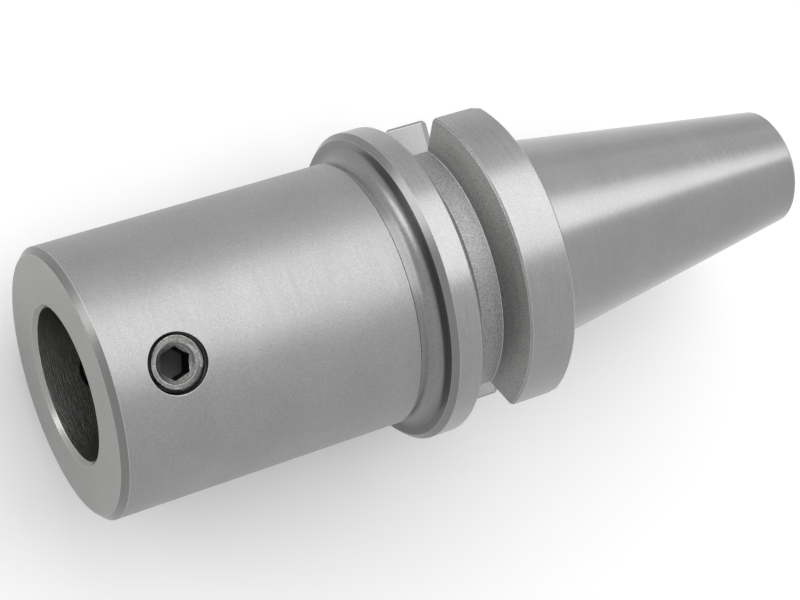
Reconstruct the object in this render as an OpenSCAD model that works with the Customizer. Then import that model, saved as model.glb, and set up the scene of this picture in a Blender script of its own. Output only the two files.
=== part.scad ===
// Boring head holder: a steep-taper shank, a gripper flange with two drive slots, and a round body whose
// ground bore takes the spigot of a boring head. One turned, milled and ground piece carries a clamping
// screw with a cone point, a fixed counter screw with a cone cup, and a pin that drives the head.
// Origin: centre of the taper's gauge plane. +X runs along the axis to the small end of the taper, and
// +Z points out along the clamping screw. The drive slots lie on the +Y and -Y sides.

/* [Taper] */
// Diameter of the taper at its gauge plane
gauge_d = 31.75; // [28:0.05:38.1]
// Length of the taper from the gauge plane to the small end
taper_l = 48.4; // [40:0.1:58.1]
// Fall of the taper's diameter over one run
taper_fall = 7; // [5.8:0.1:8.4]
// Run along the axis that goes with that fall
taper_run = 24; // [20:0.1:28.8]
// Chamfer round the small end
tip_chamfer = 0.8; // [0.3:0.1:1.5]

/* [Flange] */
// Diameter of the flange's two rings
flange_d = 46; // [44:0.5:55.2]
// Gap from the gauge plane to the flange's rear face
flange_gap = 2; // [1.6:0.1:3]
// Width of the flange over both rings
flange_w = 19.8; // [18:0.1:24]
// Chamfer round the front ring, measured along the axis
rim_chamfer_w = 0.85; // [0.3:0.05:1.2]
// Chamfer round the front ring, measured inwards
rim_chamfer_h = 0.8; // [0.3:0.05:1.2]
// Small edge break round the flange's other corners
edge_break = 0.2; // [0.1:0.05:0.4]
// Width of the relief turned between the taper and the flange
relief_w = 1.3; // [0.8:0.1:1.4]
// Depth of that relief below the taper
relief_h = 0.3; // [0.1:0.05:0.6]

/* [Gripper groove] */
// Width of the gripper groove at the flange's diameter
groove_w = 8; // [6:0.1:9.6]
// Angle between the groove's two walls
groove_angle = 60; // [50:1:72]
// Depth of the groove below the flange's diameter
groove_depth = 4; // [2.5:0.1:4.8]
// Distance from the flange's rear face to the middle of the groove
groove_centre = 11.25; // [10:0.05:13.5]

/* [Drive slots] */
// Width of each drive slot
slot_w = 16.1; // [13.4:0.1:19.3]
// Distance from the axis to the floor of a drive slot
slot_floor = 16.3; // [15:0.1:18]
// Distance from the front ring to the slot's end wall
slot_stop = 0.6; // [0.3:0.1:2]
// Radius left by the cutter in the corners of the end wall
slot_corner_r = 3; // [1:0.5:4]
// Chamfer on the slot's walls at the flange's rear face
slot_chamfer = 1.5; // [0.3:0.1:2.5]
// Chamfer on the slot's walls at the flange's diameter
slot_edge = 0.45; // [0.1:0.05:1]

/* [Body] */
// Distance from the gauge plane to the front face
projection = 70; // [60:0.5:84]
// Diameter of the body
body_d = 39; // [36:0.5:41]
// Chamfer round the front face
face_chamfer = 0.9; // [0.3:0.1:2]
// Edge break round the body's rear edge
body_edge = 0.15; // [0.1:0.05:0.3]
// Length from the body's rear edge to the flange
neck_w = 3.15; // [2.7:0.05:4]
// Depth of the neck below the body
neck_step = 0.5; // [0.3:0.05:1]
// Radius of the cove from the neck up to the flange
cove_r = 2; // [1:0.1:2.3]

/* [Head bore] */
// Diameter of the ground bore for the head's spigot
bore_d = 22; // [18.5:0.5:26.4]
// Length of the ground bore from the front face
bore_l = 25; // [21:0.5:30]
// Chamfer at the mouth of the bore
bore_chamfer = 0.6; // [0.2:0.1:1]
// Amount by which the relieved end of the bore is larger than the ground length
bore_relief = 0.6; // [0.2:0.1:1.5]
// Length of the relieved end of the bore
bore_relief_l = 9; // [7.5:0.5:12]
// Diameter of the coolant hole through the holder
coolant_d = 6; // [4:0.5:8]

/* [Clamping screws] */
// Diameter of the two clamping threads
screw_d = 8; // [6.7:0.1:9.6]
// Distance from the front face to the two screws
screw_pos = 10; // [8.4:0.1:12]
// Depth of each screw's end below the body's surface
screw_recess = 0.9; // [0.5:0.1:1.5]
// Distance that the screws' inner ends keep from the bore
screw_setback = 0.3; // [0.1:0.1:1]
// Width across the flats of the hexagon socket
socket_af = 4; // [3.3:0.1:4.5]
// Length of each screw left solid behind its socket
socket_wall = 3.7; // [3.1:0.1:4.4]
// Diameter of the countersink at the socket's mouth
socket_mouth_d = 5.7; // [5.2:0.1:6]
// Turn of the clamping screw's socket, as the screw was last left
socket_turn = 16; // [-30:1:30]
// Chamfer at the outer end of each screw
screw_chamfer = 0.5; // [0.4:0.05:1]
// Angle of the cone point and of the cup that faces it
cone_angle = 90; // [80:1:120]
// Diameter of the flat at the tip of the cone point and at the bottom of the cup
cone_flat_d = 2.4; // [1:0.1:3]
// Diameter of the counter screw's cup at its mouth
cup_d = 6; // [5:0.1:6.4]

/* [Drive pin] */
// Diameter of the pin that drives the head
pin_d = 6; // [5:0.1:7.2]
// Distance from the front face to the drive pin
pin_pos = 29.5; // [28.5:0.1:31]
// Wall of the body left outside the pin's blind seat
pin_wall = 3.2; // [2.7:0.1:3.8]
// Depth of the pin's outer end below the body's surface
pin_recess = 0.3; // [0.1:0.1:0.5]
// Chamfer at each end of the pin
pin_chamfer = 0.4; // [0.2:0.1:0.8]

/* [Pull stud thread] */
// Diameter of the thread in the small end
stud_d = 12; // [10:0.5:12.4]
// Depth to the end of that thread
stud_l = 24; // [20:0.5:28.8]
// Diameter of the pilot bore in front of the thread
pilot_d = 12.5; // [12.5:0.1:13.5]
// Depth of the pilot bore
pilot_l = 7; // [5.8:0.1:8.4]
// Chamfer at the mouth of the pilot bore
pilot_chamfer = 0.5; // [0.2:0.1:0.7]
// Diameter of the drill behind the thread
drill_d = 10.2; // [8.5:0.1:10.5]
// Depth of the drilled hole
drill_l = 34; // [31:0.5:38]

/* [Fits] */
// Radial gap from the crests of a screw to the roots of its threaded hole
thread_clearance = 0.2; // [0.02:0.01:0.3]
// Radial gap of the drive pin in its seats
pin_clearance = 0.01; // [0.01:0.01:0.03]

/* [Hidden] */
// Facets on the round parts of the preview
$fn = 96;
// Overcut that takes a cutting shape clear of the face it starts on
over = 1;
// Angle of a drill's point
drill_angle = 118;
// Largest share of the neck's length, and of the step up to the flange, that the cove may take
cove_share = 0.9;
STEEL = [0.72, 0.72, 0.73];
BLACKENED = [0.2, 0.2, 0.21];

// Radii
gauge_r = gauge_d / 2;
taper_slope = taper_fall / taper_run / 2;
tip_r = gauge_r - taper_l * taper_slope;
flange_r = flange_d / 2;
floor_r = flange_r - groove_depth;
body_r = body_d / 2;
neck_r = body_r - neck_step;
cove = min(cove_r, cove_share * neck_w, cove_share * (flange_r - rim_chamfer_h - neck_r));
bore_r = bore_d / 2;
relief_r = bore_r + bore_relief / 2;
screw_r = screw_d / 2;
cone_flat_r = cone_flat_d / 2;
pin_r = pin_d / 2;

// Places along the axis, from the gauge plane
front = -projection;
flange_rear = -flange_gap;
flange_front = flange_rear - flange_w;
body_rear = flange_front - neck_w;
groove_mid = flange_rear - groove_centre;
groove_front = groove_mid - groove_w / 2;
groove_rear = groove_mid + groove_w / 2;
// Width that each groove wall covers along the axis
wall_w = (flange_r - floor_r) * tan(groove_angle / 2);
bore_end = front + bore_l;
bore_bottom = bore_end + bore_relief_l;

// Reach of the screws' two ends from the axis
screw_out = body_r - screw_recess;
screw_in = bore_r + screw_setback;
socket_l = screw_out - screw_in - socket_wall;
// Reach of the drive pin's blind end from the axis
pin_in = body_r - pin_wall;
// Height of a cone of this angle over a given change of radius
function cone_h(change, angle) = change / tan(angle / 2);

// Lays a shape that is drawn upright, as on the lathe, along +X, with its own +X side turned up
module lay_down() {
    rotate([0, 90, 0]) rotate([0, 0, 180]) children();
}

// Turns a shape that is drawn along +Z so that it points out along a radius of the upright holder
module on_radius(along, turn) {
    translate([0, 0, along]) rotate([0, 0, turn]) rotate([0, 90, 0]) children();
}

// A round solid from one height to another, straight or as a cone
module turned(from, to, r1, r2) {
    translate([0, 0, from]) cylinder(h = to - from, r1 = r1, r2 = r2);
}

// Half section of the turned outside, with the radius along X and the axis along Y
module outside_section() {
    difference() {
        polygon([
            [0, front],
            [body_r - face_chamfer, front],
            [body_r, front + face_chamfer],
            [body_r, body_rear - body_edge],
            [body_r - body_edge, body_rear],
            [neck_r, body_rear],
            [neck_r, flange_front - cove],
            [neck_r + cove, flange_front - cove],
            [neck_r + cove, flange_front],
            [flange_r - rim_chamfer_h, flange_front],
            [flange_r, flange_front + rim_chamfer_w],
            [flange_r, groove_front - edge_break],
            [flange_r - edge_break, groove_front + edge_break * tan(groove_angle / 2)],
            [floor_r, groove_front + wall_w],
            [floor_r, groove_rear - wall_w],
            [flange_r - edge_break, groove_rear - edge_break * tan(groove_angle / 2)],
            [flange_r, groove_rear + edge_break],
            [flange_r, flange_rear - edge_break],
            [flange_r - edge_break, flange_rear],
            [gauge_r - relief_h, flange_rear],
            [gauge_r - relief_h, flange_rear + relief_w],
            [gauge_r, flange_rear + relief_w + relief_h],
            [gauge_r, 0],
            [tip_r + tip_chamfer * taper_slope, taper_l - tip_chamfer],
            [tip_r - tip_chamfer, taper_l],
            [0, taper_l]
        ]);
        // The cove is left by a round-nosed tool
        translate([neck_r + cove, flange_front - cove]) circle(r = cove);
    }
}

// Ground bore for the head, its relieved end and the coolant hole
module head_bore() {
    turned(front - over, front + bore_chamfer, bore_r + bore_chamfer + over, bore_r);
    turned(front, bore_end, bore_r, bore_r);
    turned(bore_end, bore_bottom, relief_r, relief_r);
    turned(bore_bottom, bore_bottom + cone_h(relief_r, drill_angle), relief_r, 0);
    turned(bore_bottom, taper_l - pilot_l, coolant_d / 2, coolant_d / 2);
}

// Pilot bore, thread and drilled hole for the pull stud
module stud_hole() {
    pilot_r = pilot_d / 2;
    drill_r = drill_d / 2;
    turned(taper_l - pilot_chamfer, taper_l + over, pilot_r, pilot_r + pilot_chamfer + over);
    turned(taper_l - pilot_l, taper_l, pilot_r, pilot_r);
    turned(taper_l - stud_l, taper_l - pilot_l, stud_d / 2, stud_d / 2);
    turned(taper_l - drill_l, taper_l - stud_l, drill_r, drill_r);
    turned(taper_l - drill_l - cone_h(drill_r, drill_angle), taper_l - drill_l, 0, drill_r);
}

// Outline of a drive slot as the milling cutter leaves it, seen from outside, with the axis along Y
module slot_plan() {
    end = groove_front + slot_stop;
    half = slot_w / 2;
    translate([-half, end + slot_corner_r]) square([slot_w, flange_rear - end - slot_corner_r + over]);
    translate([slot_corner_r - half, end]) square([slot_w - 2 * slot_corner_r, slot_corner_r + over]);
    for (side = [-1, 1])
        translate([side * (half - slot_corner_r), end + slot_corner_r]) circle(r = slot_corner_r);
    polygon([
        [-half, flange_rear - slot_chamfer],
        [half, flange_rear - slot_chamfer],
        [half + slot_chamfer + over, flange_rear + over],
        [-half - slot_chamfer - over, flange_rear + over]
    ]);
}

// One drive slot, with its walls chamfered at the rear face and at the flange's diameter
module drive_slot() {
    half = slot_w / 2;
    edge_h = sqrt(flange_r ^ 2 - half ^ 2) - slot_edge;
    translate([0, flange_r + over, 0]) rotate([90, 0, 0])
        linear_extrude(height = flange_r + over - slot_floor) slot_plan();
    translate([0, 0, groove_rear - over]) linear_extrude(height = flange_rear - groove_rear + 2 * over)
        polygon([
            [-half, edge_h],
            [half, edge_h],
            [half + slot_edge + over, edge_h + slot_edge + over],
            [-half - slot_edge - over, edge_h + slot_edge + over]
        ]);
}

// Threaded holes of the clamping screw and of the counter screw that faces it
module screw_holes() {
    r = screw_r + thread_clearance;
    for (turn = [0, 180])
        on_radius(front + screw_pos, turn) turned(0, body_r + over, r, r);
}

// Hole for the drive pin: open on the counter screw's side, blind on the other
module pin_hole() {
    r = pin_r + pin_clearance;
    on_radius(front + pin_pos, 180) turned(-pin_in, body_r + over, r, r);
}

module holder_body() {
    color(STEEL) lay_down() difference() {
        rotate_extrude() outside_section();
        head_bore();
        stud_hole();
        for (turn = [0, 180]) rotate([0, 0, turn]) drive_slot();
        screw_holes();
        pin_hole();
    }
}

// Hexagon socket in a screw whose outer end lies at the given height
module socket(top, turn) {
    corner_r = socket_af / 2 / cos(30);
    mouth_r = socket_mouth_d / 2;
    floor_h = cone_h(socket_af / 2, drill_angle);
    rotate([0, 0, turn]) translate([0, 0, top - socket_l])
        cylinder(h = socket_l + over, r = corner_r, $fn = 6);
    turned(top - socket_l - floor_h, top - socket_l, 0, socket_af / 2);
    turned(top - mouth_r + socket_af / 2, top + over, socket_af / 2, mouth_r + over);
}

// Clamping screw, drawn pointing outwards along +Z
module clamp_screw() {
    color(BLACKENED) lay_down() on_radius(front + screw_pos, 0) difference() {
        rotate_extrude() polygon([
            [0, screw_in],
            [cone_flat_r, screw_in],
            [screw_r, screw_in + cone_h(screw_r - cone_flat_r, cone_angle)],
            [screw_r, screw_out - screw_chamfer],
            [screw_r - screw_chamfer, screw_out],
            [0, screw_out]
        ]);
        socket(screw_out, socket_turn);
    }
}

// Counter screw, with the cup that receives the floating pin of the head
module counter_screw() {
    cup_r = cup_d / 2;
    color(BLACKENED) lay_down() on_radius(front + screw_pos, 180) difference() {
        turned(screw_in, screw_out, screw_r, screw_r);
        turned(screw_in, screw_in + cone_h(cup_r - cone_flat_r, cone_angle), cup_r, cone_flat_r);
        socket(screw_out, 0);
    }
}

// Drive pin across the relieved end of the bore
module drive_pin() {
    outer = body_r - pin_recess;
    color(STEEL) lay_down() on_radius(front + pin_pos, 180) rotate_extrude() polygon([
        [0, -pin_in],
        [pin_r - pin_chamfer, -pin_in],
        [pin_r, pin_chamfer - pin_in],
        [pin_r, outer - pin_chamfer],
        [pin_r - pin_chamfer, outer],
        [0, outer]
    ]);
}

holder_body();
clamp_screw();
counter_screw();
drive_pin();
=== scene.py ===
"""Looks of a boring head holder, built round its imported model.

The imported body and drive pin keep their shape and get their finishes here. The two set screws are made
again with their threads, and the threads of their holes and of the pull stud's hole are pieces of their
own. Lengths are in metres. +X runs along the axis to the small end of the taper, and +Z points out along
the clamping screw.
"""

import logging
import math
from collections.abc import Sequence
from dataclasses import dataclass, field
from enum import Enum

import bpy
from mathutils import Matrix, Vector


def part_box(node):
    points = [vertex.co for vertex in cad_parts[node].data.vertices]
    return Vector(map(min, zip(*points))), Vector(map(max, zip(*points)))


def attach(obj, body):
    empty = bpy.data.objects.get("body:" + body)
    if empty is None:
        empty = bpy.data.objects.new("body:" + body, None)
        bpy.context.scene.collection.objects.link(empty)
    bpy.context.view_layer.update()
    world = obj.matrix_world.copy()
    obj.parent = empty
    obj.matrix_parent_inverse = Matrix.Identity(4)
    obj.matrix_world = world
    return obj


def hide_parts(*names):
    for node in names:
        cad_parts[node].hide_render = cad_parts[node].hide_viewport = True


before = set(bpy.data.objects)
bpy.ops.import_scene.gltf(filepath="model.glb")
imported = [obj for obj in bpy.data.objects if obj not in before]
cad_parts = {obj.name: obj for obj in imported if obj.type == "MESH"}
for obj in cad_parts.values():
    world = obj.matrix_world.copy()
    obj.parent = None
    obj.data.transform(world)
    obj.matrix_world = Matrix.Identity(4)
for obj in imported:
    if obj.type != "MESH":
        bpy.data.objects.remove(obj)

log = logging.getLogger("boring_head_holder")

MM = 0.001
HALF_TURN = math.pi
MERGE = 0.0005 * MM
SMOOTH_BELOW = 35
SCREW_PLACE = -60 * MM
PIN_PLACE = -40.5 * MM

# A noise pattern keeps mostly between these two values
NOISE_RANGE = (0.3, 0.7)
# How well the rounded and the plain normal agree where an edge starts to show, and where it shows in full:
# the first pair for the highlight painted into the colour along edges, the second for the rounded normal
EDGE_HIGHLIGHT_SPAN = (0.999, 0.95)
ROUNDED_EDGE = (0.9995, 0.995)
EDGE_SAMPLES = 6
# Limits for the part of a face's normal along a direction, by which the surfaces are told apart
LEANING = 0.3
SLOPING = 0.5
STEEP = 0.6
SQUARE = 0.9
LEVEL = 0.97
FLAT = 0.99
PLANE = 0.999

Colour = tuple[float, float, float]
Outline = Sequence[tuple[float, float]]
Span = tuple[float, float]


class Lay(Enum):
    """The way that a cutter's marks run on a surface."""

    TURNED = "rings round the axis"
    MILLED = "lines across the axis"
    THREADED = "rings round the piece's own axis"


class Zone(Enum):
    """The surfaces of the holder's body that are finished in different ways."""

    BODY = "ground body"
    FRONT = "turned front face"
    CHAMFER = "turned chamfers of the body and the front ring"
    MOUTH = "turned chamfer of the head bore"
    BORE = "ground head bore"
    NECK = "turned neck"
    RING = "ground flange rings"
    GROOVE = "turned floor of the gripper groove"
    WALL = "turned walls of the gripper groove"
    SLOT = "milled drive slots"
    TAPER = "ground taper"
    REAR = "turned rear faces"
    HOLE = "drilled and tapped holes"


class ScrewEnd(Enum):
    """The inner end of a set screw."""

    CONE = "cone point"
    CUP = "cone cup"


class NodeSheet:
    """The node tree of a material or of the world, with short calls for the nodes that they use."""

    def __init__(self, owner: bpy.types.Material | bpy.types.World) -> None:
        """Starts an empty tree.

        Args:
            owner: The material or the world.
        """
        self.owner = owner
        self.owner.use_nodes = True
        self.tree = self.owner.node_tree
        self.tree.nodes.clear()

    def node(self, kind: str, **settings: object) -> bpy.types.Node:
        """Adds a node.

        Args:
            kind: The node's type.
            **settings: Properties of the node.

        Returns:
            The new node.
        """
        made = self.tree.nodes.new(kind)
        for key, value in settings.items():
            setattr(made, key, value)
        return made

    def feed(self, socket: bpy.types.NodeSocket, value: object) -> None:
        """Links an output to an input, or sets the input to a plain value.

        Args:
            socket: The input.
            value: An output socket, a number or a colour.
        """
        if isinstance(value, bpy.types.NodeSocket):
            self.tree.links.new(value, socket)
        else:
            socket.default_value = value

    def math(self, operation: str, *values: object) -> bpy.types.NodeSocket:
        """Adds a Math node.

        Args:
            operation: The node's operation.
            *values: Its inputs, each an output socket or a number.

        Returns:
            Its output.
        """
        made = self.node("ShaderNodeMath", operation=operation)
        for socket, value in zip(made.inputs, values):
            self.feed(socket, value)
        return made.outputs["Value"]

    def noise(self, vector: bpy.types.NodeSocket, detail: float) -> bpy.types.NodeSocket:
        """Adds a noise pattern with one blob for each unit of its coordinates.

        Args:
            vector: The coordinates.
            detail: How many finer layers it has.

        Returns:
            The pattern, from 0 to 1.
        """
        made = self.node("ShaderNodeTexNoise")
        self.feed(made.inputs["Vector"], vector)
        made.inputs["Scale"].default_value = 1.0
        made.inputs["Detail"].default_value = detail
        return made.outputs["Fac"]

    def vector(self, operation: str, *values: object) -> bpy.types.NodeSocket:
        """Adds a Vector Math node with a vector for its result.

        Args:
            operation: The node's operation.
            *values: Its inputs, each an output socket or a vector.

        Returns:
            Its output.
        """
        made = self.node("ShaderNodeVectorMath", operation=operation)
        for socket, value in zip(made.inputs, values):
            self.feed(socket, value)
        return made.outputs["Vector"]

    def scaled(self, vector: bpy.types.NodeSocket, size: float) -> bpy.types.NodeSocket:
        """Divides coordinates by a length.

        Args:
            vector: The coordinates, in metres.
            size: The length that becomes one unit.

        Returns:
            The divided coordinates.
        """
        made = self.node("ShaderNodeVectorMath", operation="SCALE")
        self.feed(made.inputs[0], vector)
        made.inputs["Scale"].default_value = 1 / size
        return made.outputs["Vector"]

    def ramp(
        self, value: bpy.types.NodeSocket, span: Span, result: Span = (0.0, 1.0), soft: bool = False
    ) -> bpy.types.NodeSocket:
        """Maps a value from one range to another, and holds it at the ends.

        Args:
            value: The value.
            span: Where the range starts and ends.
            result: The results at the two ends.
            soft: True to ease the result in and out.

        Returns:
            The mapped value.
        """
        easing = "SMOOTHSTEP" if soft else "LINEAR"
        made = self.node("ShaderNodeMapRange", clamp=True, interpolation_type=easing)
        for socket, number in zip(made.inputs, (value, *span, *result)):
            self.feed(socket, number)
        return made.outputs["Result"]

    def vary(self, pattern: bpy.types.NodeSocket, middle: float, share: float) -> bpy.types.NodeSocket:
        """Turns a noise pattern into a value that varies about a middle.

        Args:
            pattern: The pattern.
            middle: The value's middle.
            share: How far it goes either way, as a share of the middle.

        Returns:
            The varying value.
        """
        return self.ramp(pattern, NOISE_RANGE, (middle * (1 - share), middle * (1 + share)))

    def seen(self) -> bpy.types.NodeSocket:
        """Tells the rays that show the background, in the picture or in metal, from the rays that light.

        Returns:
            1 for a camera, glossy or transmission ray, and 0 for the others.
        """
        path = self.node("ShaderNodeLightPath")
        shown = self.math("MAXIMUM", path.outputs["Is Camera Ray"], path.outputs["Is Glossy Ray"])
        return self.math("MAXIMUM", shown, path.outputs["Is Transmission Ray"])


@dataclass(frozen=True)
class SteelFinish:
    """How one kind of steel surface looks.

    A surface has marks that a cutter or a wheel left, a fine grain, a slow change of tone, and a highlight
    painted into its colour along the edges, where they catch the light.
    """

    name: str
    colour: Colour = (0.6, 0.6, 0.6)
    roughness: float = 0.3
    lay: Lay = Lay.TURNED
    axis_place: float = 0.0
    mark_pitch: float = 0.2 * MM
    mark_depth: float = 0.002 * MM
    mark_stretch: float = 60.0
    mark_tone: float = 0.12
    grain_size: float = 0.26 * MM
    grain_depth: float = 0.002 * MM
    grain_tone: float = 0.34
    cloud_size: float = 9 * MM
    cloud_tone: float = 0.08
    roughness_spread: float = 0.1
    edge_radius: float = 0.15 * MM
    # How much the colour is brightened along edges: a painted highlight
    edge_highlight_gain: float = 0.9

    def _marks(self, sheet: NodeSheet, place: bpy.types.NodeSocket) -> bpy.types.NodeSocket:
        """Adds the cutter's marks.

        Args:
            sheet: The material's nodes.
            place: Object coordinates.

        Returns:
            The marks, from 0 to 1.
        """
        parts = sheet.node("ShaderNodeSeparateXYZ")
        sheet.feed(parts.inputs[0], place)
        along, side, up = (parts.outputs[axis] for axis in "XYZ")
        if self.lay is Lay.TURNED:
            flat = sheet.math("ADD", sheet.math("MULTIPLY", side, side), sheet.math("MULTIPLY", up, up))
            along = sheet.math("ADD", along, sheet.math("SQRT", flat))
        elif self.lay is Lay.THREADED:
            off = sheet.math("SUBTRACT", along, self.axis_place)
            flat = sheet.math("ADD", sheet.math("MULTIPLY", side, side), sheet.math("MULTIPLY", off, off))
            along = sheet.math("ADD", up, sheet.math("SQRT", flat))
        across = 1 / (self.mark_pitch * self.mark_stretch)
        joined = sheet.node("ShaderNodeCombineXYZ")
        sheet.feed(joined.inputs[0], sheet.math("DIVIDE", along, self.mark_pitch))
        sheet.feed(joined.inputs[1], sheet.math("MULTIPLY", side, across))
        sheet.feed(joined.inputs[2], sheet.math("MULTIPLY", up, across))
        return sheet.noise(joined.outputs[0], detail=2.0)

    def _round_normal(self, sheet: NodeSheet, place: bpy.types.NodeSocket) -> bpy.types.NodeSocket:
        """Frees the normal of a turned surface from the kinks of its mesh.

        The normal of a surface turned about X has no part along the turn, so that part is taken out.

        Args:
            sheet: The material's nodes.
            place: Object coordinates.

        Returns:
            The corrected normal.
        """
        normal = sheet.node("ShaderNodeTexCoord").outputs["Normal"]
        turn = sheet.vector("NORMALIZE", sheet.vector("CROSS_PRODUCT", (1, 0, 0), place))
        side = sheet.node("ShaderNodeVectorMath", operation="DOT_PRODUCT")
        sheet.feed(side.inputs[0], normal)
        sheet.feed(side.inputs[1], turn)
        along = sheet.node("ShaderNodeVectorMath", operation="SCALE")
        sheet.feed(along.inputs[0], turn)
        sheet.feed(along.inputs["Scale"], side.outputs["Value"])
        clean = sheet.vector("NORMALIZE", sheet.vector("SUBTRACT", normal, along.outputs["Vector"]))
        world = sheet.node("ShaderNodeVectorTransform", vector_type="NORMAL")
        world.convert_from = "OBJECT"
        world.convert_to = "WORLD"
        sheet.feed(world.inputs[0], clean)
        return world.outputs[0]

    def make(self) -> bpy.types.Material:
        """Builds the material.

        Returns:
            The finished material.
        """
        sheet = NodeSheet(bpy.data.materials.new(self.name))
        place = sheet.node("ShaderNodeTexCoord").outputs["Object"]
        marks = self._marks(sheet, place)
        grain = sheet.noise(sheet.scaled(place, self.grain_size), detail=2.0)
        clouds = sheet.noise(sheet.scaled(place, self.cloud_size), detail=3.0)

        edge = sheet.node("ShaderNodeBevel", samples=EDGE_SAMPLES)
        edge.inputs["Radius"].default_value = self.edge_radius
        sharp = sheet.node("ShaderNodeVectorMath", operation="DOT_PRODUCT")
        sheet.feed(sharp.inputs[0], edge.outputs[0])
        sheet.feed(sharp.inputs[1], sheet.node("ShaderNodeNewGeometry").outputs["Normal"])
        # Painted highlight: the colour is brightened where the rounded edge normal leaves the plain one
        painted_edge_highlight = sheet.ramp(sharp.outputs["Value"], EDGE_HIGHLIGHT_SPAN, (0.0, self.edge_highlight_gain))

        bright = sheet.math("ADD", painted_edge_highlight, 1.0)
        patterns = ((clouds, self.cloud_tone), (grain, self.grain_tone), (marks, self.mark_tone))
        for pattern, spread in patterns:
            bright = sheet.math("MULTIPLY", bright, sheet.vary(pattern, 1.0, spread / 2))
        tint = sheet.node("ShaderNodeVectorMath", operation="SCALE")
        tint.inputs[0].default_value = self.colour
        sheet.feed(tint.inputs["Scale"], bright)

        facing = edge.outputs[0]
        if self.lay is Lay.TURNED:
            blend = sheet.node("ShaderNodeMix", data_type="VECTOR")
            sheet.feed(blend.inputs["Factor"], sheet.ramp(sharp.outputs["Value"], ROUNDED_EDGE))
            sheet.feed(blend.inputs["A"], self._round_normal(sheet, place))
            sheet.feed(blend.inputs["B"], facing)
            facing = sheet.vector("NORMALIZE", blend.outputs["Result"])
        ground = sheet.node("ShaderNodeBump")
        ground.inputs["Distance"].default_value = self.grain_depth
        sheet.feed(ground.inputs["Height"], grain)
        sheet.feed(ground.inputs["Normal"], facing)
        cut = sheet.node("ShaderNodeBump")
        cut.inputs["Distance"].default_value = self.mark_depth
        sheet.feed(cut.inputs["Height"], marks)
        sheet.feed(cut.inputs["Normal"], ground.outputs[0])

        shader = sheet.node("ShaderNodeBsdfPrincipled")
        shader.inputs["Metallic"].default_value = 1.0
        sheet.feed(shader.inputs["Base Color"], tint.outputs["Vector"])
        sheet.feed(shader.inputs["Roughness"], sheet.vary(marks, self.roughness, self.roughness_spread))
        sheet.feed(shader.inputs["Normal"], cut.outputs[0])
        output = sheet.node("ShaderNodeOutputMaterial")
        sheet.feed(output.inputs["Surface"], shader.outputs[0])
        return sheet.owner


STEEL_BODY = SteelFinish(
    "ground_body",
    colour=(0.28, 0.28, 0.279),
    roughness=0.43,
    mark_tone=0.05,
    grain_size=0.16 * MM,
    grain_depth=0.0014 * MM,
    grain_tone=0.3,
    edge_highlight_gain=1.2,
)
STEEL_FRONT = SteelFinish(
    "turned_front", colour=(0.304, 0.3, 0.289), roughness=0.36, mark_tone=0.08, grain_tone=0.16
)
STEEL_CHAMFER = SteelFinish(
    "turned_chamfer",
    colour=(0.19, 0.189, 0.187),
    roughness=0.3,
    mark_tone=0.08,
    grain_tone=0.1,
    edge_highlight_gain=0.7,
)
STEEL_MOUTH = SteelFinish(
    "turned_mouth",
    colour=(0.3, 0.3, 0.293),
    roughness=0.26,
    mark_tone=0.08,
    grain_tone=0.1,
    edge_highlight_gain=0.5,
)
STEEL_BORE = SteelFinish(
    "ground_bore",
    colour=(0.27, 0.27, 0.262),
    roughness=0.34,
    mark_pitch=0.12 * MM,
    mark_depth=0.036 * MM,
    mark_stretch=20,
    mark_tone=0.3,
    grain_size=0.12 * MM,
    grain_depth=0.03 * MM,
    grain_tone=0.5,
)
# Darker than the body's steel: painted shade in the neck and the cove between the body and the flange
STEEL_NECK = SteelFinish("turned_neck_painted_shade", colour=(0.21, 0.21, 0.208), roughness=0.32, grain_tone=0.24)
STEEL_RING = SteelFinish(
    "ground_ring",
    colour=(0.28, 0.28, 0.279),
    roughness=0.28,
    mark_tone=0.06,
    grain_size=0.22 * MM,
    grain_tone=0.2,
)
STEEL_GROOVE = SteelFinish(
    "turned_groove",
    colour=(0.26, 0.26, 0.26),
    roughness=0.54,
    grain_size=0.22 * MM,
    grain_tone=0.6,
    edge_highlight_gain=1.2,
)
STEEL_WALL = SteelFinish(
    "turned_wall",
    colour=(0.25, 0.25, 0.246),
    roughness=0.47,
    grain_size=0.2 * MM,
    grain_tone=0.5,
    edge_highlight_gain=1.2,
)
STEEL_SLOT = SteelFinish(
    "milled_slot", colour=(0.26, 0.26, 0.262), roughness=0.32, lay=Lay.MILLED, grain_tone=0.16
)
STEEL_TAPER = SteelFinish(
    "ground_taper",
    colour=(0.28, 0.28, 0.284),
    roughness=0.23,
    mark_depth=0.001 * MM,
    mark_tone=0.04,
    grain_size=0.2 * MM,
    grain_tone=0.12,
)
STEEL_REAR = SteelFinish("turned_rear", colour=(0.28, 0.28, 0.28), roughness=0.34, grain_tone=0.2)
# Near-black colour: painted shade inside the holes and on the set screws' hole threads
STEEL_HOLE_PAINTED_SHADE = SteelFinish(
    "tapped_hole_painted_shade", colour=(0.045, 0.045, 0.045), roughness=0.4, lay=Lay.THREADED, axis_place=SCREW_PLACE
)
STEEL_STUD_HOLE = SteelFinish("tapped_stud_hole", colour=(0.2, 0.2, 0.2), roughness=0.35)
STEEL_SCREW = SteelFinish(
    "blackened_screw",
    colour=(0.145, 0.145, 0.141),
    roughness=0.36,
    lay=Lay.THREADED,
    axis_place=SCREW_PLACE,
    mark_pitch=0.17 * MM,
    mark_depth=0.016 * MM,
    mark_stretch=14,
    mark_tone=1.2,
    grain_tone=0.7,
    # A strong painted highlight round the rim of the screw's end
    edge_highlight_gain=2.6,
)
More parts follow.
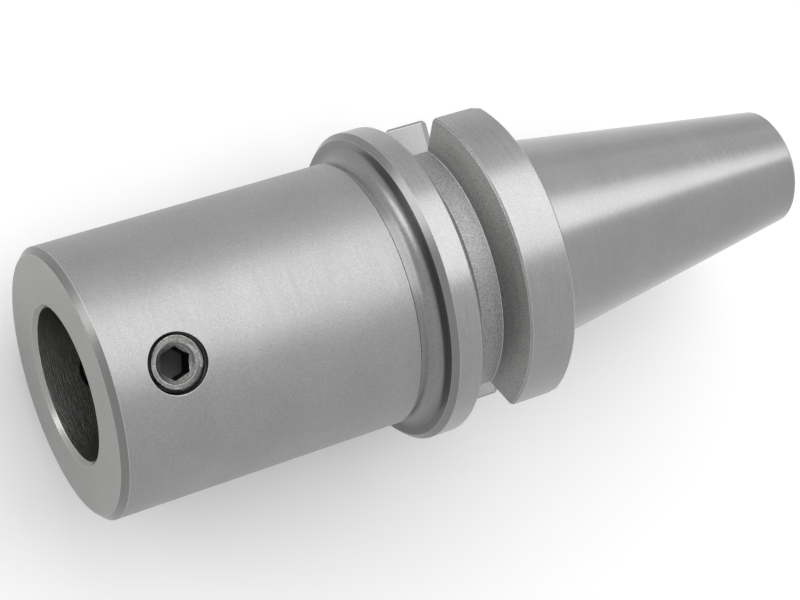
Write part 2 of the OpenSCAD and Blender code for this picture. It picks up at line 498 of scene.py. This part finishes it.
# Near-black colour: painted shade inside the hex socket, over the screw's own blackened steel
STEEL_SOCKET_PAINTED_SHADE = SteelFinish(
    "pressed_socket_painted_shade", colour=(0.03, 0.03, 0.03), roughness=0.42, lay=Lay.THREADED, axis_place=SCREW_PLACE
)
STEEL_PIN = SteelFinish(
    "ground_pin",
    colour=(0.28, 0.28, 0.28),
    roughness=0.25,
    lay=Lay.THREADED,
    axis_place=PIN_PLACE,
    grain_tone=0.12,
)


class Workpiece:
    """A new piece while it is being shaped: turned about Z from its half outline, then cut and trimmed."""

    def __init__(
        self, name: str, outline: Outline, steps: int = 96, pitch: float = 0.0, turns: int = 1
    ) -> None:
        """Draws the half outline point by point and turns it about Z.

        Args:
            name: The piece's name.
            outline: The points of the outline, each a radius and a height.
            steps: How many steps one turn takes.
            pitch: The rise of one turn, for a thread.
            turns: How many turns are made.
        """
        bpy.ops.object.select_all(action="DESELECT")
        bpy.ops.mesh.primitive_plane_add(size=MM)
        self.body = bpy.context.object
        self.body.name = name
        bpy.ops.object.mode_set(mode="EDIT")
        bpy.ops.mesh.select_mode(type="VERT")
        bpy.ops.mesh.select_all(action="SELECT")
        bpy.ops.mesh.merge(type="CENTER")
        bpy.ops.transform.translate(value=(outline[0][0], 0, outline[0][1]))
        for (radius, height), (next_radius, next_height) in zip(outline, outline[1:]):
            step = (next_radius - radius, 0, next_height - height)
            bpy.ops.mesh.extrude_region_move(TRANSFORM_OT_translate={"value": step})
        bpy.ops.object.mode_set(mode="OBJECT")
        turn = self.body.modifiers.new("turn", "SCREW")
        turn.axis = "Z"
        turn.steps = turn.render_steps = steps
        turn.screw_offset = pitch
        turn.iterations = turns
        self._apply(turn)
        self._tidy()

    def _apply(self, modifier: bpy.types.Modifier) -> None:
        """Applies a modifier.

        Args:
            modifier: The modifier.
        """
        bpy.ops.object.select_all(action="DESELECT")
        bpy.context.view_layer.objects.active = self.body
        self.body.select_set(True)
        bpy.ops.object.modifier_apply(modifier=modifier.name)

    def _tidy(self) -> None:
        """Merges points that meet, and turns all faces outwards."""
        bpy.ops.object.mode_set(mode="EDIT")
        bpy.ops.mesh.select_all(action="SELECT")
        bpy.ops.mesh.remove_doubles(threshold=MERGE)
        bpy.ops.mesh.normals_make_consistent(inside=False)
        bpy.ops.object.mode_set(mode="OBJECT")

    def trim(self, low: float, high: float) -> "Workpiece":
        """Cuts the piece off square at two heights, and closes its ends.

        Args:
            low: The lower height.
            high: The upper height.

        Returns:
            The workpiece.
        """
        bpy.ops.object.mode_set(mode="EDIT")
        for height, above in ((low, False), (high, True)):
            bpy.ops.mesh.select_all(action="SELECT")
            bpy.ops.mesh.bisect(
                plane_co=(0, 0, height),
                plane_no=(0, 0, 1),
                use_fill=True,
                clear_outer=above,
                clear_inner=not above,
            )
        bpy.ops.object.mode_set(mode="OBJECT")
        self._tidy()
        return self

    def cut(self, tool: "Workpiece", operation: str = "DIFFERENCE") -> "Workpiece":
        """Cuts the piece with another one, which is used up.

        Args:
            tool: The cutting piece.
            operation: DIFFERENCE to take the tool away, INTERSECT to keep what lies inside it.

        Returns:
            The workpiece.
        """
        boolean = self.body.modifiers.new("cut", "BOOLEAN")
        boolean.operation = operation
        boolean.solver = "EXACT"
        boolean.object = tool.body
        self._apply(boolean)
        bpy.data.objects.remove(tool.body)
        return self

    def swing(self, angle: float, axis: str) -> "Workpiece":
        """Turns the piece about one axis through the origin.

        Args:
            angle: The angle, in radians.
            axis: X, Y or Z.

        Returns:
            The workpiece.
        """
        self.body.data.transform(Matrix.Rotation(angle, 4, axis))
        return self

    def move(self, x: float = 0.0, z: float = 0.0) -> "Workpiece":
        """Moves the piece.

        Args:
            x: The way along X.
            z: The way along Z.

        Returns:
            The workpiece.
        """
        self.body.data.transform(Matrix.Translation((x, 0, z)))
        return self

    def finish(self, material: bpy.types.Material, body: str, slot: str) -> bpy.types.Object:
        """Smooths the piece's curves, gives it its material and lets it ride on a body.

        Args:
            material: The material.
            body: The body that it rides on.
            slot: Not used.

        Returns:
            The finished piece.
        """
        self._tidy()
        bpy.ops.object.shade_smooth_by_angle(angle=math.radians(SMOOTH_BELOW))
        self.body.data.materials.clear()
        self.body.data.materials.append(material)
        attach(self.body, body)
        log.info("%s: %d faces, rides on %s", self.body.name, len(self.body.data.polygons), body)
        return self.body


@dataclass(frozen=True)
class Thread:
    """A screw thread, drawn with its crests and roots cut off near the pitch line."""

    pitch: float
    crest: float
    root: float
    crest_share: float = 0.2
    root_share: float = 0.3
    steps: int = 64
    spare_turns: int = 3

    def rod(self, name: str, low: float, high: float) -> Workpiece:
        """Cuts the thread on a rod that stands along Z.

        Args:
            name: The rod's name.
            low: The height of its lower end.
            high: The height of its upper end.

        Returns:
            The threaded rod.
        """
        flank = (1 - self.crest_share - self.root_share) / 2
        start = low - self.spare_turns / 2 * self.pitch
        shares = ((self.root, 0.0), (self.root, self.root_share), (self.crest, self.root_share + flank))
        shares += ((self.crest, 1 - flank), (self.root, 1.0))
        outline = [(radius, start + share * self.pitch) for radius, share in shares]
        turns = math.ceil((high - low) / self.pitch) + self.spare_turns
        return Workpiece(name, outline, self.steps, self.pitch, turns).trim(low, high)

    def sleeve(self, name: str, low: float, high: float, wall: float) -> Workpiece:
        """Cuts the thread inside a thin sleeve that stands along Z and lines a hole.

        Args:
            name: The sleeve's name.
            low: The height of its lower end.
            high: The height of its upper end.
            wall: The sleeve's outer radius.

        Returns:
            The threaded sleeve.
        """
        outline = ((0, low), (wall, low), (wall, high), (0, high))
        tap = self.rod("tap", low - self.pitch, high + self.pitch)
        return Workpiece(name, outline).cut(tap)


@dataclass
class SetScrew:
    """A socket set screw, modelled upright with its socket at the top."""

    name: str
    body: str
    end: ScrewEnd
    socket_turn: float = 0.0
    side: int = 1
    place: float = SCREW_PLACE
    thread: Thread = Thread(pitch=1.25 * MM, crest=3.85 * MM, root=3.4 * MM)
    inner: float = 11.3 * MM
    outer: float = 18.6 * MM
    face_radius: float = 3.75 * MM
    face_chamfer: float = 0.12 * MM
    socket_half: float = 2 * MM
    socket_depth: float = 3.6 * MM
    socket_point: float = 1.2 * MM
    mouth_radius: float = 2.85 * MM
    mouth_slope: float = 0.75
    flat_radius: float = 1.2 * MM
    cup_radius: float = 3 * MM
    cup_depth: float = 1.8 * MM
    cup_chamfer: float = 0.5 * MM
    over: float = 0.5 * MM
    drill_gap: float = 0.025 * MM
    skin: float = 0.02 * MM

    def _form(self) -> Workpiece:
        """Turns the screw's outside, without its thread.

        Returns:
            The turned form.
        """
        reach = self.thread.crest + self.over
        slope = reach - self.face_radius
        if self.end is ScrewEnd.CONE:
            foot = [(0, self.inner), (self.flat_radius, self.inner)]
            foot.append((reach, self.inner + reach - self.flat_radius))
        else:
            rim = self.thread.crest - self.cup_chamfer
            foot = [(0, self.inner + self.cup_depth), (self.flat_radius, self.inner + self.cup_depth)]
            foot += [(self.cup_radius, self.inner), (rim, self.inner), (reach, self.inner + reach - rim)]
        head = [(reach, self.outer - slope * self.face_chamfer / (self.thread.crest - self.face_radius))]
        head += [(self.face_radius, self.outer), (0, self.outer)]
        return Workpiece("form", foot + head)

    def _socket(self) -> tuple[Workpiece, Workpiece]:
        """Makes the two tools that cut the socket.

        Returns:
            The hexagon, and the drill with the mouth's countersink.
        """
        floor = self.outer - self.socket_depth
        top = self.outer + self.over
        corner = self.socket_half / math.cos(math.radians(30))
        hexagon = Workpiece("hexagon", ((0, floor), (corner, floor), (corner, top), (0, top)), steps=6)
        hexagon.swing(math.radians(self.socket_turn), "Z")
        drill = self.socket_half - self.drill_gap
        mouth = self.outer - (self.mouth_radius - drill) * self.mouth_slope
        brim = self.outer + self.over * self.mouth_slope
        point = ((0, floor - self.socket_point), (drill, floor), (drill, mouth))
        bit = Workpiece("bit", point + ((self.mouth_radius + self.over, brim), (0, brim)))
        return hexagon, bit

    def build(self, material: bpy.types.Material, inside: bpy.types.Material) -> bpy.types.Object:
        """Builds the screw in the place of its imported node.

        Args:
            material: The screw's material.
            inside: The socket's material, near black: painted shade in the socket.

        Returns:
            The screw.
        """
        screw = self.thread.rod(f"{self.name}_threaded", self.inner - self.over, self.outer + self.over)
        screw.cut(self._form(), "INTERSECT")
        for tool in self._socket():
            screw.cut(tool)
        if self.side < 0:
            screw.swing(HALF_TURN, "X")
        piece = screw.move(x=self.place).finish(material, self.body, "screw_steel")
        piece.data.materials.append(inside)
        for face in piece.data.polygons:
            radius = math.hypot(face.center.x - self.place, face.center.y)
            deep = self.outer - self.side * face.center.z
            mouth = SLOPING < abs(face.normal.z) < FLAT and deep < self.mouth_radius - self.socket_half
            hollow = radius < self.mouth_radius and self.skin < deep < 2 * self.socket_depth
            # The socket's walls and floor take the near-black painted shade
            face.material_index = int(hollow and not mouth)
        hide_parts(self.name)
        return piece


@dataclass
class Threads:
    """The threads inside the holder: one for each set screw, and one for the pull stud."""

    screw_thread: Thread = Thread(pitch=1.25 * MM, crest=4.17 * MM, root=3.9 * MM)
    screw_wall: float = 4.25 * MM
    screw_place: float = SCREW_PLACE
    screw_inner: float = 11.2 * MM
    screw_outer: float = 19 * MM
    lead_in: float = 18.8 * MM
    lead_radius: float = 4.16 * MM
    stud_thread: Thread = Thread(pitch=1.75 * MM, crest=5.96 * MM, root=5.15 * MM)
    stud_wall: float = 6.05 * MM
    stud_inner: float = 24.4 * MM
    stud_outer: float = 41.4 * MM
    stud_lead: float = 0.9 * MM

    def build(self, material: bpy.types.Material, stud_material: bpy.types.Material) -> None:
        """Builds the three threads.

        Args:
            material: The material of the set screws' threads.
            stud_material: The material of the pull stud's thread.
        """
        for name, side in (("clamp_thread", 1), ("counter_thread", -1)):
            sleeve = self.screw_thread.sleeve(name, self.screw_inner, self.screw_outer, self.screw_wall)
            sleeve.cut(self._lead(self.lead_radius, self.lead_in, self.screw_outer))
            if side < 0:
                sleeve.swing(HALF_TURN, "X")
            sleeve.move(x=self.screw_place).finish(material, "holder", "holder_steel")
        sleeve = self.stud_thread.sleeve("stud_thread", self.stud_inner, self.stud_outer, self.stud_wall)
        sleeve.cut(self._lead(self.stud_thread.crest, self.stud_outer, self.stud_outer, self.stud_lead))
        sleeve.swing(HALF_TURN / 2, "Y").finish(stud_material, "holder", "holder_steel")

    def _lead(self, radius: float, low: float, high: float, bevel: float = 0.3 * MM) -> Workpiece:
        """Makes the tool that cuts a thread's first turns back.

        Args:
            radius: The radius that it leaves.
            low: The height where it starts to narrow.
            high: The height of the thread's upper end.
            bevel: The height of its narrowing point.

        Returns:
            The tool.
        """
        top = high + MM
        foot = low - bevel
        outline = ((0, foot), (radius - bevel, foot), (radius, low), (radius, top), (0, top))
        return Workpiece("lead", outline)


@dataclass
class Holder:
    """The holder's one-piece body: its sizes, and the finish of each of its surfaces."""

    front: float = -70 * MM
    chamfer_reach: float = 1.2 * MM
    relief_radius: float = 11.3 * MM
    flange_radius: float = 23 * MM
    screw_place: float = SCREW_PLACE
    hole_radius: float = 4.2 * MM
    pin_place: float = PIN_PLACE
    pin_hole_radius: float = 3.01 * MM
    body_rear: float = -24.95 * MM
    flange_front: float = -21.8 * MM
    groove_front: float = -17.25 * MM
    groove_rear: float = -9.25 * MM
    flange_rear: float = -2 * MM
    slot_floor: float = 16.3 * MM
    slot_reach: float = 9.6 * MM
    slack: float = 0.15 * MM
    finishes: dict[Zone, SteelFinish] = field(
        default_factory=lambda: {
            Zone.BODY: STEEL_BODY,
            Zone.FRONT: STEEL_FRONT,
            Zone.CHAMFER: STEEL_CHAMFER,
            Zone.MOUTH: STEEL_MOUTH,
            Zone.BORE: STEEL_BORE,
            Zone.NECK: STEEL_NECK,
            Zone.RING: STEEL_RING,
            Zone.GROOVE: STEEL_GROOVE,
            Zone.WALL: STEEL_WALL,
            Zone.SLOT: STEEL_SLOT,
            Zone.TAPER: STEEL_TAPER,
            Zone.REAR: STEEL_REAR,
            Zone.HOLE: STEEL_HOLE_PAINTED_SHADE,
        }
    )

    def zone_of(self, middle: Vector, normal: Vector) -> Zone:
        """Finds the surface that a face belongs to.

        Args:
            middle: The face's middle.
            normal: The face's normal.

        Returns:
            The zone.
        """
        radius = math.hypot(middle.y, middle.z)
        outward = (normal.y * middle.y + normal.z * middle.z) / max(radius, self.slack)
        if self._in_hole(middle, radius, outward):
            return Zone.HOLE
        if middle.x < self.front + self.chamfer_reach and SLOPING < -normal.x < SQUARE:
            return Zone.CHAMFER if outward > 0 else Zone.MOUTH
        if radius < self.relief_radius + self.slack and middle.x < self.groove_front:
            return Zone.FRONT if normal.x < -SQUARE else Zone.BORE
        if radius < self.flange_radius / 2 and middle.x > 0 and outward < LEANING:
            return Zone.REAR if normal.x > SQUARE else Zone.HOLE
        if self._in_slot(middle, normal):
            return Zone.SLOT
        if middle.x < self.front + 2 * self.slack or (normal.x < -SLOPING and middle.x < self.body_rear):
            return Zone.FRONT
        if middle.x < self.body_rear - self.slack:
            return Zone.BODY
        if middle.x < self.flange_front + self.slack and radius < self.flange_radius - self.slack:
            return Zone.NECK
        if self.groove_front - self.slack < middle.x < self.groove_rear + self.slack and outward < LEVEL:
            return Zone.WALL
        if self.groove_front < middle.x < self.groove_rear:
            return Zone.GROOVE
        if middle.x < self.flange_rear - self.slack:
            return Zone.CHAMFER if LEANING < abs(normal.x) < SQUARE else Zone.RING
        return Zone.REAR if abs(normal.x) > SLOPING else Zone.TAPER

    def _in_hole(self, middle: Vector, radius: float, outward: float) -> bool:
        """Tells whether a face belongs to a screw's hole or to the drive pin's.

        Args:
            middle: The face's middle.
            radius: How far that lies from the axis.
            outward: The part of the face's normal that points away from the axis.

        Returns:
            True for a hole's wall.
        """
        holes = ((self.screw_place, self.hole_radius), (self.pin_place, self.pin_hole_radius))
        near = any(math.hypot(middle.x - place, middle.y) < reach + self.slack for place, reach in holes)
        return near and radius > self.relief_radius + self.slack and abs(outward) < SLOPING

    def _in_slot(self, middle: Vector, normal: Vector) -> bool:
        """Tells whether a face belongs to a drive slot.

        Args:
            middle: The face's middle.
            normal: The face's normal.

        Returns:
            True for a slot's floor, walls, corners and chamfers.
        """
        inside = self.groove_front - self.slack < middle.x < self.flange_rear + self.slack
        near = abs(middle.y) > self.slot_floor - self.slack and abs(middle.z) < self.slot_reach
        square = abs(normal.z) > STEEP or abs(normal.y) > PLANE
        return inside and near and (square or abs(middle.y) < self.slot_floor + self.slack)

    def dress(self) -> bpy.types.Object:
        """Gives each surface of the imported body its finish.

        Returns:
            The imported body.
        """
        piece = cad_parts["holder_body"]
        piece.data.materials.clear()
        slots = {zone: index for index, zone in enumerate(self.finishes)}
        for finish in self.finishes.values():
            piece.data.materials.append(finish.make())
        for face in piece.data.polygons:
            face.material_index = slots[self.zone_of(face.center, face.normal)]
        return piece


@dataclass(frozen=True)
class Lamp:
    """A flat rectangular lamp, which faces down until it is tilted about X and then turned about Z."""

    name: str
    middle: tuple[float, float, float]
    width: float
    depth: float
    level: float
    tilt: float = 0.0
    turn: float = 0.0

    def hang(self) -> bpy.types.Object:
        """Hangs the lamp.

        Returns:
            The lamp.
        """
        light = bpy.data.lights.new(self.name, "AREA")
        light.shape = "RECTANGLE"
        light.size = self.width
        light.size_y = self.depth
        light.energy = self.level * math.pi * self.width * self.depth
        lamp = bpy.data.objects.new(self.name, light)
        bpy.context.scene.collection.objects.link(lamp)
        lamp.location = self.middle
        lamp.rotation_euler = (math.radians(self.tilt), 0, math.radians(self.turn))
        return lamp


SOFTBOX = Lamp("softbox", middle=(0.42, 0.53, 0.7), width=1.05, depth=1.1, level=1.83, turn=17)
SIDE_FILL = Lamp("side_fill", middle=(0.3, 1.2, 0.45), width=2.4, depth=0.9, level=0.16, tilt=-90)
FRONT_CARD = Lamp(
    "front_card", middle=(-0.82, 0.64, 0.26), width=0.6, depth=0.6, level=2.9, tilt=-76, turn=52
)


@dataclass
class Studio:
    """The floor, the lamps and the camera."""

    floor_size: float = 12.0
    floor_albedo: float = 0.82
    floor_lift: float = 0.05
    fade_start: float = 0.055
    fade_end: float = 0.13
    world_level: float = 0.6
    lamps: tuple[Lamp, ...] = (SOFTBOX, SIDE_FILL, FRONT_CARD)
    camera_place: Vector = field(default_factory=lambda: Vector((-154.0, 25.4, 300.9)) * MM)
    camera_forward: Vector = field(default_factory=lambda: Vector((0.4097, -0.0849, -0.9083)))
    camera_up: Vector = field(default_factory=lambda: Vector((0.277, 0.9603, 0.0351)))
    lens: float = 102.4
    sensor: float = 36.0
    nearest: float = 0.01
    farthest: float = 50.0

    def floor(self) -> bpy.types.Object:
        """Lays the floor under the flange.

        Returns:
            The floor.
        """
        bpy.ops.object.select_all(action="DESELECT")
        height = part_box("holder_body")[0].z
        bpy.ops.mesh.primitive_plane_add(size=self.floor_size, location=(0, 0, height))
        floor = bpy.context.object
        floor.name = "floor"
        floor.data.materials.append(self._paper())
        return floor

    def _paper(self) -> bpy.types.Material:
        """Makes the floor's material: matt paper that keeps the shadow, and runs out to plain white.

        Returns:
            The material.
        """
        sheet = NodeSheet(bpy.data.materials.new("white_paper"))
        seen = sheet.seen()
        paper = sheet.node("ShaderNodeBsdfDiffuse")
        sheet.feed(paper.inputs["Color"], sheet.ramp(seen, (0.0, 1.0), (self.floor_albedo, 1.0)))
        glow = sheet.node("ShaderNodeEmission")
        sheet.feed(glow.inputs["Strength"], sheet.math("MULTIPLY", seen, self.floor_lift))
        lifted = sheet.node("ShaderNodeAddShader")
        sheet.feed(lifted.inputs[0], paper.outputs[0])
        sheet.feed(lifted.inputs[1], glow.outputs[0])
        reach = sheet.node("ShaderNodeVectorMath", operation="LENGTH")
        sheet.feed(reach.inputs[0], sheet.node("ShaderNodeTexCoord").outputs["Object"])
        faded = sheet.ramp(reach.outputs["Value"], (self.fade_start, self.fade_end), soft=True)
        plain = sheet.node("ShaderNodeMixShader")
        sheet.feed(plain.inputs[0], sheet.math("MULTIPLY", seen, faded))
        sheet.feed(plain.inputs[1], lifted.outputs[0])
        sheet.feed(plain.inputs[2], sheet.node("ShaderNodeEmission").outputs[0])
        below = sheet.node("ShaderNodeMixShader")
        sheet.feed(below.inputs[0], sheet.node("ShaderNodeNewGeometry").outputs["Backfacing"])
        sheet.feed(below.inputs[1], plain.outputs[0])
        sheet.feed(below.inputs[2], sheet.node("ShaderNodeBsdfTransparent").outputs[0])
        output = sheet.node("ShaderNodeOutputMaterial")
        sheet.feed(output.inputs["Surface"], below.outputs[0])
        return sheet.owner

    def world(self) -> None:
        """Sets a white surrounding, which gives an even, plain light from all sides."""
        sheet = NodeSheet(bpy.data.worlds.new("studio"))
        light = sheet.node("ShaderNodeBackground")
        light.inputs["Color"].default_value = (1, 1, 1, 1)
        strength = sheet.ramp(sheet.seen(), (0.0, 1.0), (self.world_level, 1.0))
        sheet.feed(light.inputs["Strength"], strength)
        output = sheet.node("ShaderNodeOutputWorld")
        sheet.feed(output.inputs["Surface"], light.outputs[0])
        bpy.context.scene.world = sheet.owner

    def camera(self) -> bpy.types.Object:
        """Sets up the camera as in the photo.

        Returns:
            The camera.
        """
        data = bpy.data.cameras.new("camera")
        data.lens = self.lens
        data.sensor_width = self.sensor
        data.clip_start = self.nearest
        data.clip_end = self.farthest
        camera = bpy.data.objects.new("camera", data)
        bpy.context.scene.collection.objects.link(camera)
        back = -self.camera_forward.normalized()
        right = self.camera_up.cross(back).normalized()
        up = back.cross(right)
        turn = Matrix((right, up, back)).transposed().to_4x4()
        camera.matrix_world = Matrix.Translation(self.camera_place) @ turn
        bpy.context.scene.camera = camera
        return camera


def main() -> None:
    """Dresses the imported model, adds the threads and sets up the studio."""
    logging.basicConfig(level=logging.INFO, format="%(message)s")
    bpy.context.scene.view_settings.view_transform = "Standard"
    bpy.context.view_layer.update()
    studio = Studio()
    studio.camera()
    studio.world()
    studio.floor()
    for lamp in studio.lamps:
        log.info("lamp: %s", lamp.hang().name)
    log.info("dressed: %s", Holder().dress().name)
    screw_steel = STEEL_SCREW.make()
    socket_shade_steel = STEEL_SOCKET_PAINTED_SHADE.make()
    SetScrew("clamp_screw", "clamp_screw", ScrewEnd.CONE, socket_turn=16).build(screw_steel, socket_shade_steel)
    SetScrew("counter_screw", "holder", ScrewEnd.CUP, side=-1).build(screw_steel, socket_shade_steel)
    Threads().build(STEEL_HOLE_PAINTED_SHADE.make(), STEEL_STUD_HOLE.make())
    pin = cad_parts["drive_pin"]
    pin.data.materials.clear()
    pin.data.materials.append(STEEL_PIN.make())


if __name__ == "__main__":
    main()
